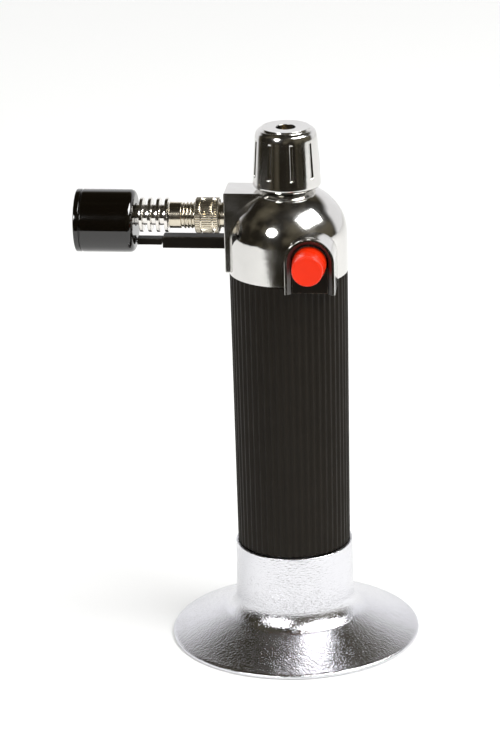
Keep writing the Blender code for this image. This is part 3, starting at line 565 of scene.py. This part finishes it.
# %% The finishes
chrome = finish("mirror_chrome", (0.74, 0.73, 0.71), (0.64, 0.63, 0.61), 1.0,
                0.075, 0.16, 520.0, 0.16, 0.00006)
satin = finish("satin_chrome", (0.76, 0.76, 0.79), (0.71, 0.71, 0.74), 1.0,
               0.11, 0.18, 1900.0, 1.0, 0.00016)
nickel = finish("nickel_plate", (0.70, 0.65, 0.55), (0.60, 0.53, 0.40), 1.0,
                0.12, 0.24, 1500.0, 0.10, 0.00003, worn=(0.90, 0.87, 0.80))
bright_steel = finish("bright_steel", (0.84, 0.82, 0.79), (0.72, 0.69, 0.64), 1.0,
                      0.10, 0.20, 1800.0, 0.12, 0.00003)
brass = finish("turned_brass", (0.66, 0.48, 0.20), (0.52, 0.36, 0.14), 1.0,
               0.18, 0.32, 1800.0, 0.15, 0.00003)
steel = finish("plain_steel", (0.52, 0.52, 0.53), (0.44, 0.44, 0.45), 1.0,
               0.25, 0.40, 1500.0, 0.15, 0.00003, worn=(0.78, 0.78, 0.78))
aluminium = finish("turned_aluminium", (0.64, 0.65, 0.66), (0.56, 0.57, 0.58), 1.0,
                   0.28, 0.42, 1500.0, 0.15, 0.00003)
rubber = finish("grip_rubber", (0.010, 0.0070, 0.0032), (0.0065, 0.0045, 0.0020), 0.0,
                0.38, 0.50, 3500.0, 0.30, 0.00004, specular=0.16)
black_plastic = finish("black_plastic", (0.008, 0.006, 0.0035), (0.005, 0.004, 0.0025), 0.0,
                       0.30, 0.45, 2600.0, 0.20, 0.00003, specular=0.09,
                       worn=(0.16, 0.14, 0.11))
white_plastic = finish("white_plastic", (0.72, 0.71, 0.67), (0.66, 0.65, 0.60), 0.0,
                       0.35, 0.50, 2000.0, 0.15, 0.00003)
red_plastic = finish("button_red", (0.78, 0.026, 0.002), (0.72, 0.022, 0.002), 0.0,
                     0.24, 0.36, 1800.0, 0.08, 0.00003, specular=0.25)
enamel = finish("black_enamel", (0.003, 0.002, 0.001), (0.002, 0.0015, 0.001), 0.0,
                0.05, 0.10, 900.0, 0.05, 0.00003, specular=0.75)
seal_rubber = finish("seal_rubber", (0.02, 0.02, 0.02), (0.012, 0.012, 0.012), 0.0,
                     0.55, 0.70, 3000.0, 0.20, 0.00003)
# a near-black dull metal used only inside the hood's opening: painted shade
painted_recess_shade = finish("painted_recess_shade", (0.16, 0.155, 0.15), (0.12, 0.115, 0.11), 1.0,
                   0.38, 0.50, 1500.0, 0.20, 0.00005)
SLOT_FINISH = {
    "chrome": chrome, "chrome_satin": satin, "aluminium": aluminium, "steel": steel,
    "steel_bright": bright_steel, "brass": brass, "brass_nickel": nickel,
    "rubber_black": seal_rubber, "plastic_black": black_plastic,
    "plastic_white": white_plastic, "plastic_red": red_plastic, "enamel_black": enamel,
}
for part in frame["record"]["subparts"]:
    mesh = frame["nodes"][part["node"]].data
    mesh.materials.clear()
    mesh.materials.append(SLOT_FINISH[part["material_slot"]])
print(len(SLOT_FINISH), "finishes on", len(frame["nodes"]), "CAD nodes")


def dress(piece, paint, body, slot, *nodes):
    piece.data.materials.clear()
    piece.data.materials.append(paint)
    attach(piece, body)
    if nodes:
        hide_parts(*nodes)
    tell(piece)


# %% [markdown]
# ## The stand
#
# A spun bell: a thin straight neck, a tight fillet and a gently dished skirt. It is
# one turned piece. The fillet is part of an ellipse and the skirt a shallow curve to
# the rim, where the edge is rolled over by a small fillet. The frame's own stand has a
# wider flare, so the two surfaces are up to 1.6 mm apart near the root of the skirt.

# %% Stand
def ellipse_run(centre, radii, start, end, count):
    points = []
    for step in range(count + 1):
        angle = math.radians(start + (end - start) * step / count)
        points.append((centre[0] + radii[0] * math.cos(angle), centre[1] + radii[1] * math.sin(angle)))
    return points


def bend(start, control, end, count):
    """A quadratic curve from start to end, drawn towards control."""
    points = []
    for step in range(1, count + 1):
        t = step / count
        points.append(tuple(a * (1 - t) ** 2 + b * 2 * t * (1 - t) + c * t ** 2
                            for a, b, c in zip(start, control, end)))
    return points


rim_r = size("stand_bell").x / 2
neck_r = 17.1 * MM
neck_top = stand_high.z
wall = 0.8 * MM
fillet_r = 6.0 * MM
fillet_h = 6.8 * MM
fillet_top = 13.0 * MM
neck_taper = 0.2 * MM
fillet_centre = (neck_r + neck_taper + fillet_r, fillet_top)
outline = [(neck_r, neck_top, 0.25 * MM)]
outline += ellipse_run(fillet_centre, (fillet_r, fillet_h), 180, 250, 22)
outline += bend(outline[-1], (32.0 * MM, 2.17 * MM), (rim_r - 0.45 * MM, 1.15 * MM), 16)
outline += [(rim_r, 0.72 * MM, 0.2 * MM), (rim_r, 0.0, 0.15 * MM), (rim_r - 1.5 * MM, 0.0, 0.1 * MM)]
inner_run = ellipse_run(fillet_centre, (fillet_r + wall, fillet_h + wall), 180, 250, 18)
outline += bend((rim_r - 1.5 * MM, 0.05 * MM), (31.6 * MM, 1.2 * MM), inner_run[-1], 12)[:-1]
outline += inner_run[::-1] + [(neck_r - wall, neck_top, 0.2 * MM)]
stand = lathe("stand_bell_spun", outline, 160)
place(stand, tank)
soften(stand)
dress(stand, satin, "stand", "chrome_satin", "stand_bell")

# %% [markdown]
# ## The grip
#
# The sleeve is moulded rubber with narrow upright ribs all round. It is turned with
# eight steps to a rib, and each step is pressed in by its own share of the depth, which
# gives rounded ribs and valleys. The sleeve narrows a little towards its foot.

# %% Grip
RIBS = 52
RIB_DEPTH = 0.46 * MM
grip_top_r = size("grip_sleeve").x / 2
grip_foot_r = grip_top_r - 0.5 * MM
bore = 15.3 * MM
band = 0.15 * MM
outline = [(grip_top_r - band, grip_high.z), (grip_top_r, grip_high.z - band)]
outline += [(grip_foot_r, grip_low.z + band), (grip_foot_r - band, grip_low.z)]
outline += [(bore, grip_low.z), (bore, grip_high.z)]
grip = lathe("grip_sleeve_ribbed", outline, RIBS * 8)
depths = [share * RIB_DEPTH for share in (0.0, 0.10, 0.55, 0.90, 1.0, 0.90, 0.55, 0.10)]
press(grip, RIBS, depths, grip_low.z - MM, grip_high.z + MM, least=bore + 0.2 * MM)
place(grip, tank)
soften(grip, 50)
dress(grip, rubber, "torch", "rubber_black", "grip_sleeve")

# %% [markdown]
# ## The head
#
# The casting starts as a dome turned on the tank's axis. A square block for the
# burner, with its edges eased, and a flared hood for the button with a rounded front lip
# are joined to it, then the inside, the button's opening and the bores are cut away.

# %% Head
head_r = 17.0 * MM
dome_z = 122.5 * MM
dome_rise = 15.0 * MM
head_foot = grip_high.z + 0.3 * MM
dome_top = knob_low.z - 0.5 * MM
head_wall = 1.4 * MM
block_reach = tank.x - head_low.x
block_half = 5.8 * MM
block_foot = 112.2 * MM
block_top = 135.8 * MM
hood_front = -head_low.y
hood_r = 7.1 * MM
hood_spot = (button.x, 0.0, 119.5 * MM)
hood_foot = head_low.z


def dome(name, radius, rise, foot, top, sides, count):
    top_angle = math.degrees(math.asin((top - dome_z) / rise))
    line = [(0.0, top)] + ellipse_run((0.0, dome_z), (radius, rise), top_angle, 0, count)
    return lathe(name, line + [(radius, foot), (0.0, foot)], sides)


head = dome("head_casting", head_r, dome_rise, head_foot, dome_top, 144, 30)
block = box("block", (-block_reach, -block_half, block_foot), (-1 * MM, block_half, block_top), 0.45 * MM)
combine(head, block, "UNION")
place(head, tank)
flare = [(hood_r - 0.32 * MM, -hood_front, 0.0), (hood_r - 0.09 * MM, -hood_front + 0.09 * MM, 0.0)]
flare += [(hood_r, -hood_front + 0.32 * MM, 0.0)]
for step in range(1, 15):
    t = step / 14
    growth = 2.2 * MM * t ** 1.5
    flare.append((hood_r + growth, -hood_front + (1.0 + 9.0 * t) * MM, -growth))
combine(head, arch("hood", flare, hood_foot, hood_spot), "UNION")


def rod(name, radius, start, end, spot, turn=(0.0, 0.0, 0.0), sides=96):
    piece = lathe(name, [(0.0, end), (radius, end), (radius, start), (0.0, start)], sides)
    place(piece, spot, turn)
    return piece


grip_room = rod("grip_room", grip_top_r + 0.3 * MM, hood_foot - 3 * MM, head_foot, tank, sides=144)
combine(head, grip_room, "DIFFERENCE")
room = dome("dome_room", head_r - head_wall, dome_rise - head_wall, head_foot - 3 * MM,
            dome_top - head_wall, 96, 16)
place(room, tank)
combine(head, room, "DIFFERENCE")
room = box("block_room", (tank.x - block_reach + head_wall, -block_half + head_wall, block_foot - 4 * MM),
           (tank.x - 0.5 * MM, block_half - head_wall, block_top - head_wall - 0.35 * MM))
combine(head, room, "DIFFERENCE")
hood_room = hood_r - 1.8 * MM
mouth = 1.0 * MM
opening = [(hood_room + mouth + 0.3 * MM, -hood_front - 0.3 * MM, 0.0)]
opening += [(hood_room, -hood_front + mouth, 0.0), (hood_room, -2.0 * MM, 0.0)]
combine(head, arch("hood_room", opening, hood_foot - 5 * MM, hood_spot), "DIFFERENCE")
combine(head, rod("spindle_hole", 2.3 * MM, dome_top - 4 * MM, dome_top + 4 * MM, tank), "DIFFERENCE")
combine(head, rod("burner_hole", 4.1 * MM, block_reach - 4 * MM, block_reach + 3 * MM, burner, ALONG_BURNER),
        "DIFFERENCE")
soften(head, 28)
dress(head, chrome, "torch", "chrome", "head_shell")
# the inner walls of the hood's opening get a dark, dull metal: painted shade for the narrow gap round the
# button
head.data.materials.append(painted_recess_shade)
for face in head.data.polygons:
    outwards = Vector((face.center.x - hood_spot[0], 0.0, max(0.0, face.center.z - hood_spot[2])))
    inside = outwards.length < hood_room + mouth and outwards.dot(face.normal) < 0.0
    if face.center.y < -0.6 * head_r and inside:
        face.material_index = 1

# %% [markdown]
# ## The gas knob
#
# A slightly conical cap with a stepped crown, nine round-ended flutes and a recess
# for its screw. The body is turned, and the flutes are cut by small capsules.

# %% Knob
KNOB_FLUTES = 9
foot_r = size("gas_knob").x / 2
foot_z = knob_low.z
top_z = knob_high.z
top_r = foot_r - 0.95 * MM
recess_r = 2.8 * MM
outline = [(recess_r, top_z - 0.15 * MM, 0.15 * MM), (6.9 * MM, top_z, 0.12 * MM)]
outline += [(7.0 * MM, top_z - 0.55 * MM, 0.08 * MM), (7.7 * MM, top_z - 0.60 * MM, 0.3 * MM)]
outline += [(8.45 * MM, top_z - 1.25 * MM, 0.35 * MM), (top_r, top_z - 2.5 * MM, 0.6 * MM)]
outline += [(foot_r, foot_z + 0.7 * MM, 0.3 * MM)]
spindle_bore = 2.2 * MM
screw_bore = 1.2 * MM
web_foot = 145.3 * MM
recess_foot = 148.0 * MM
outline += [(foot_r - 0.5 * MM, foot_z, 0.15 * MM), (spindle_bore, foot_z)]
outline += [(spindle_bore, web_foot), (screw_bore, web_foot)]
outline += [(screw_bore, recess_foot), (recess_r, recess_foot)]
knob = lathe("gas_knob_fluted", outline, 180)
flute_r = 0.7 * MM
flute_foot = foot_z + 3.2 * MM
flute_top = top_z - 2.9 * MM
first_flute = math.radians(-75.0)
for index in range(KNOB_FLUTES):
    line = ellipse_run((0.0, flute_top - flute_r), (flute_r, flute_r), 90, 0, 6)
    line += ellipse_run((0.0, flute_foot + flute_r), (flute_r, flute_r), 0, -90, 6)
    line[0] = (0.0, flute_top)
    line[-1] = (0.0, flute_foot)
    capsule = lathe("flute", line, 24)
    angle = first_flute + 2 * math.pi * index / KNOB_FLUTES
    lean = math.atan2(foot_r - top_r, top_z - foot_z)
    reach = (foot_r + top_r) / 2 + 0.22 * MM
    centre = Vector((reach * math.cos(angle), reach * math.sin(angle), 0.0))
    tilt = Matrix.Rotation(angle, 4, "Z") @ Matrix.Rotation(-lean, 4, "Y")
    middle_z = (flute_top + flute_foot) / 2
    place(capsule, (0.0, 0.0, -middle_z))
    place(capsule, centre + Vector((0.0, 0.0, middle_z)), tilt.to_euler())
    combine(knob, capsule, "DIFFERENCE")
place(knob, tank)
soften(knob, 35)
dress(knob, chrome, "gas_knob", "chrome", "gas_knob")

# %% [markdown]
# ## The igniter button
#
# A moulded cap that narrows a little towards its face, with a small rounded edge.

# %% Button
button_low, button_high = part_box("igniter_button")
button_front = -button_low.y
button_back = -button_high.y
button_r = size("igniter_button").x / 2
nose_r = button_r - 0.45 * MM
outline = [(0.0, button_front - 0.03 * MM), (nose_r * 0.6, button_front - 0.01 * MM)]
outline += [(nose_r, button_front, 0.5 * MM), (button_r, hood_front + 0.3 * MM)]
outline += [(button_r, button_back, 0.2 * MM), (0.0, button_back)]
red_button = lathe("igniter_button_cap", outline, 96, 6)
place(red_button, button, ALONG_BUTTON)
soften(red_button, 40)
dress(red_button, red_plastic, "igniter_button", "plastic_red", "igniter_button")

# %% [markdown]
# ## The burner
#
# All turned on one axis: the threaded mixing tube, the knurled air collar, the
# finned nozzle and the black shade. The thread is a real helix, a small round section
# carried round and along by a Screw modifier.

# %% Mixing tube and thread
def reach_of(node):
    """How far a node starts and ends from the tank's axis, along the burner."""
    low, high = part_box(node)
    return tank.x - high.x, tank.x - low.x


tube_start, tube_end = reach_of("mixing_tube")
thread_r = size("mixing_tube").y / 2
thread_root = thread_r - 0.42 * MM
collar_start, collar_end = reach_of("air_collar")
thread_end = 30.0 * MM
flange = block_reach + 0.15 * MM
outline = [(2.1 * MM, tube_end), (thread_r - 0.04 * MM, tube_end, 0.15 * MM)]
outline += [(thread_r - 0.04 * MM, thread_end + 0.2 * MM, 0.1 * MM), (thread_root, thread_end)]
outline += [(thread_root, flange), (3.0 * MM, flange), (3.0 * MM, tube_start), (2.1 * MM, tube_start)]
tube = lathe("mixing_tube_turned", outline, 96)
place(tube, burner, ALONG_BURNER)
soften(tube)
dress(tube, nickel, "torch", "brass_nickel", "mixing_tube")

PITCH = 1.0 * MM
clear_selection()
thread_mid = (thread_root + thread_r) / 2 - 0.08 * MM
bpy.ops.mesh.primitive_circle_add(vertices=8, radius=0.30 * MM, location=(thread_mid, 0.0, flange + 0.8 * MM),
                                  rotation=(math.pi / 2, 0.0, 0.0))
thread = bpy.context.object
thread.name = "mixing_tube_thread"
bpy.ops.object.transform_apply(location=True, rotation=True, scale=True)
turns = math.floor((thread_end - flange - 1.2 * MM) / PITCH)
coil = thread.modifiers.new("helix", "SCREW")
coil.angle = 2 * math.pi * turns
coil.screw_offset = PITCH * turns
coil.steps = 64 * turns
coil.render_steps = coil.steps
coil.use_merge_vertices = False
bpy.ops.object.modifier_apply(modifier="helix")
bpy.ops.object.mode_set(mode="EDIT")
bpy.ops.mesh.select_all(action="DESELECT")
bpy.ops.mesh.select_mode(type="EDGE")
bpy.ops.mesh.select_non_manifold(extend=False, use_wire=False, use_multi_face=False,
                                 use_non_contiguous=False, use_verts=False)
bpy.ops.mesh.edge_face_add()
bpy.ops.mesh.select_all(action="SELECT")
bpy.ops.mesh.normals_make_consistent(inside=False)
bpy.ops.mesh.select_mode(type="VERT")
bpy.ops.object.mode_set(mode="OBJECT")
place(thread, burner, ALONG_BURNER)
soften(thread, 60)
dress(thread, nickel, "torch", "brass_nickel")

# %% Air collar
KNURL_TEETH = 44
collar_r = size("air_collar").y / 2
collar_bore = 4.65 * MM
groove = 0.28 * MM
length = collar_end - collar_start
outline = [(collar_bore, collar_end), (collar_r - 0.2 * MM, collar_end), (collar_r, collar_end - 0.2 * MM)]
for middle_z in (collar_end - 1.75 * MM, collar_start + 1.6 * MM):
    outline += [(collar_r, middle_z + 0.25 * MM), (collar_r - groove, middle_z + 0.15 * MM)]
    outline += [(collar_r - groove, middle_z - 0.15 * MM), (collar_r, middle_z - 0.25 * MM)]
outline += [(collar_r, collar_start + 0.2 * MM), (collar_r - 0.2 * MM, collar_start)]
outline += [(collar_bore, collar_start)]
collar = lathe("air_collar_knurled", outline, KNURL_TEETH * 6)
depths = [0.0, 0.0, 0.06 * MM, 0.32 * MM, 0.06 * MM, 0.0]
press(collar, KNURL_TEETH, depths, collar_start + 0.1 * MM, collar_end - 0.1 * MM, least=collar_r - 0.1 * MM)
place(collar, burner, ALONG_BURNER)
soften(collar, 35)
dress(collar, nickel, "air_collar", "brass_nickel", "air_collar")

# %% Finned nozzle
nozzle_start, nozzle_end = reach_of("finned_nozzle")
fin_r = size("finned_nozzle").y / 2
FIN_PITCH = 2.42 * MM
FIN_THICK = 0.96 * MM
core_r = 3.0 * MM
tip = nozzle_end - 3.2 * MM
outline = [(3.3 * MM, nozzle_end), (4.0 * MM, nozzle_end, 0.15 * MM), (4.0 * MM, tip)]
outline += [(core_r, tip - 0.8 * MM)]
for index in reversed(range(4)):
    rear = nozzle_start + FIN_PITCH * index
    outline += [(core_r, rear + FIN_THICK, 0.12 * MM), (fin_r, rear + FIN_THICK, 0.14 * MM)]
    outline += [(fin_r, rear, 0.14 * MM), (core_r, rear, 0.12 * MM if index else 0.0)]
outline += [(2.0 * MM, nozzle_start), (2.0 * MM, tip), (3.3 * MM, tip + 0.8 * MM)]
nozzle = lathe("finned_nozzle_turned", outline, 112, 3)
place(nozzle, burner, ALONG_BURNER)
soften(nozzle)
dress(nozzle, bright_steel, "torch", "steel_bright", "finned_nozzle")

# %% [markdown]
# ## The flame shade
#
# A drawn cup in gloss black, with a rounded rear corner, a floor that the nozzle and
# the electrode pass through, and a narrow rolled band round its mouth.

# %% Shade
shade_start, shade_end = reach_of("flame_shade")
shade_r = size("flame_shade").y / 2
shade_axis = Vector((tank.x, 0.0, middle("flame_shade").z))
shade_wall = 0.8 * MM
outline = [(0.0, shade_start + shade_wall), (shade_r - shade_wall, shade_start + shade_wall, 0.8 * MM)]
outline += [(shade_r - shade_wall, shade_end, 0.3 * MM), (shade_r, shade_end, 0.35 * MM)]
outline += [(shade_r, shade_end - 1.45 * MM, 0.12 * MM), (shade_r - 0.28 * MM, shade_end - 1.6 * MM)]
outline += [(shade_r - 0.28 * MM, shade_end - 1.8 * MM), (shade_r, shade_end - 1.95 * MM, 0.1 * MM)]
outline += [(shade_r, shade_start, 1.9 * MM), (0.0, shade_start)]
shade = lathe("flame_shade_drawn", outline, 128, 8)
place(shade, shade_axis, ALONG_BURNER)
combine(shade, rod("nozzle_hole", 3.3 * MM, shade_start - 2 * MM, shade_start + 3 * MM, burner, ALONG_BURNER),
        "DIFFERENCE")
lead_axis = Vector((tank.x, 0.0, middle("lead_guard").z))
combine(shade, rod("electrode_hole", 0.9 * MM, shade_start - 2 * MM, shade_start + 3 * MM, lead_axis,
                   ALONG_BURNER, 24), "DIFFERENCE")
soften(shade)
dress(shade, enamel, "torch", "enamel_black", "flame_shade")
